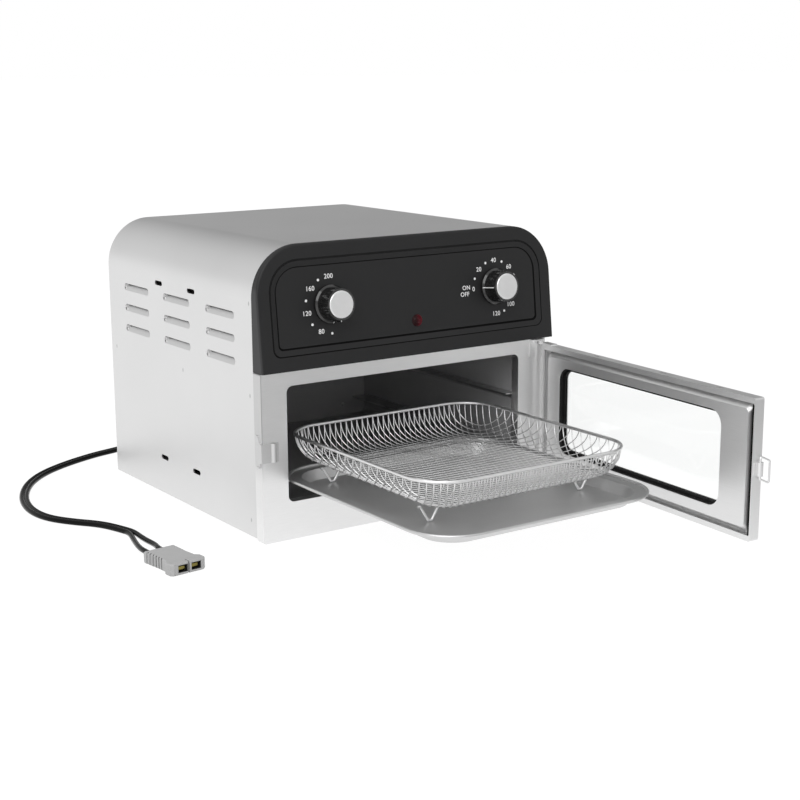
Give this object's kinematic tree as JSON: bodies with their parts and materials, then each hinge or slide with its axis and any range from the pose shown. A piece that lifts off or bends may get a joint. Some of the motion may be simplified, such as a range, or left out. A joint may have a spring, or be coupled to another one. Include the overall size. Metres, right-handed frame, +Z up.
{
  "type": "air fryer oven",
  "caption": "Countertop air fryer oven with a side-hinged glass door, wire basket, drip tray, dials and a mains lead.",
  "frame": {"origin": "bottom middle of the oven with its door open and its tray and basket drawn out, on the surface it stands on, without the lead", "axes": "+X to the right as the front is faced, +Y towards the back, +Z up"},
  "size_m": [0.4598, 0.7077, 0.2635],
  "materials": {
    "silver_sheet": "satin silver",
    "plated_sheet": "plated",
    "black_rubber": "matt black",
    "bright_steel": "fine brushed",
    "black_moulding": "satin black",
    "red_lens": "clear red",
    "grey_enamel": "satin grey",
    "wire_steel": "bright",
    "dark_steel": "dull",
    "black_gloss": "gloss black",
    "brass_contact": "bare",
    "door_glass": "clear",
    "grey_moulding": "satin grey",
    "knob_cap": "satin",
    "tray_sheet": "satin grey",
    "wire_chrome": "bright",
    "aluminium_sheet": "bare"
  },
  "bodies": {
    "body": {"wrapper": "silver_sheet", "back_panel": "plated_sheet", "base_plate": "plated_sheet", "feet": "black_rubber", "front_frame": "bright_steel", "control_fascia": "black_moulding", "indicator_lens": "red_lens", "lamp_holder": "black_moulding", "thermostat_unit": "plated_sheet", "timer_unit": "plated_sheet", "cavity_liner": "grey_enamel", "left_tray_rail": "wire_steel", "right_tray_rail": "wire_steel", "left_rack_rail": "wire_steel", "right_rack_rail": "wire_steel", "fan_guard": "wire_steel", "heating_element": "dark_steel", "fan_shroud": "plated_sheet", "fan_motor": "dark_steel", "motor_bracket": "plated_sheet", "latch_catch": "bright_steel", "upper_hinge_bracket": "bright_steel", "lower_hinge_bracket": "bright_steel", "cord_gland": "black_moulding", "cord_main": "black_rubber", "cord_core_left": "black_rubber", "cord_core_right": "black_rubber", "connector_housing": "grey_moulding", "connector_contacts": "brass_contact"},
    "door": {"door_skin": "bright_steel", "door_inner_panel": "bright_steel", "window_gasket": "black_rubber", "window_glass": "door_glass", "door_knuckles": "bright_steel", "latch_keeper": "bright_steel"},
    "bail": {"latch_bail": "wire_steel"},
    "temperature_dial": {"temperature_knob": "black_gloss", "temperature_knob_cap": "knob_cap", "temperature_shaft": "dark_steel"},
    "timer_dial": {"timer_knob": "black_gloss", "timer_knob_cap": "knob_cap", "timer_shaft": "dark_steel"},
    "tray": {"drip_tray": "tray_sheet"},
    "basket": {"basket_rim": "wire_chrome", "basket_floor_mesh": "wire_chrome", "basket_front_mesh": "wire_chrome", "basket_back_mesh": "wire_chrome", "basket_left_mesh": "wire_chrome", "basket_right_mesh": "wire_chrome", "basket_feet": "wire_chrome"},
    "fan_rotor": {"fan_impeller": "aluminium_sheet", "motor_shaft": "dark_steel", "cooling_fan": "aluminium_sheet"}
  },
  "joints": [
    {"name": "door_hinge", "type": "hinge", "parent": "body", "child": "door", "pos_m": [0.1495, -0.00458, 0.0875], "axis": [0, 0, 1], "range_deg": [-4.5, 22]},
    {"name": "bail_pivot", "type": "hinge", "parent": "door", "child": "bail", "pos_m": [0.13573, -0.30242, 0.09], "axis": [0, 0, -1], "range_deg": [-16, 110]},
    {"name": "tray_slide", "type": "slide", "parent": "body", "child": "tray", "axis": [0, -1, 0], "range_m": [-0.225, 0.03]},
    {"name": "basket_lift", "type": "slide", "parent": "tray", "child": "basket", "axis": [0, 0, 1], "range_m": [0, 0.045]},
    {"name": "temperature_turn", "type": "hinge", "parent": "body", "child": "temperature_dial", "pos_m": [-0.0876, 0.00016, 0.2088], "axis": [0, 0.9945, -0.1047], "range_deg": [0, 180]},
    {"name": "timer_turn", "type": "hinge", "parent": "body", "child": "timer_dial", "pos_m": [0.0968, 0.00016, 0.2088], "axis": [0, 0.9945, -0.1047], "range_deg": [0, 270]},
    {"name": "fan_spin", "type": "hinge", "parent": "body", "child": "fan_rotor", "pos_m": [-0.006, 0.14992, 0.18], "axis": [0, 0, 1], "continuous": true}
  ]
}
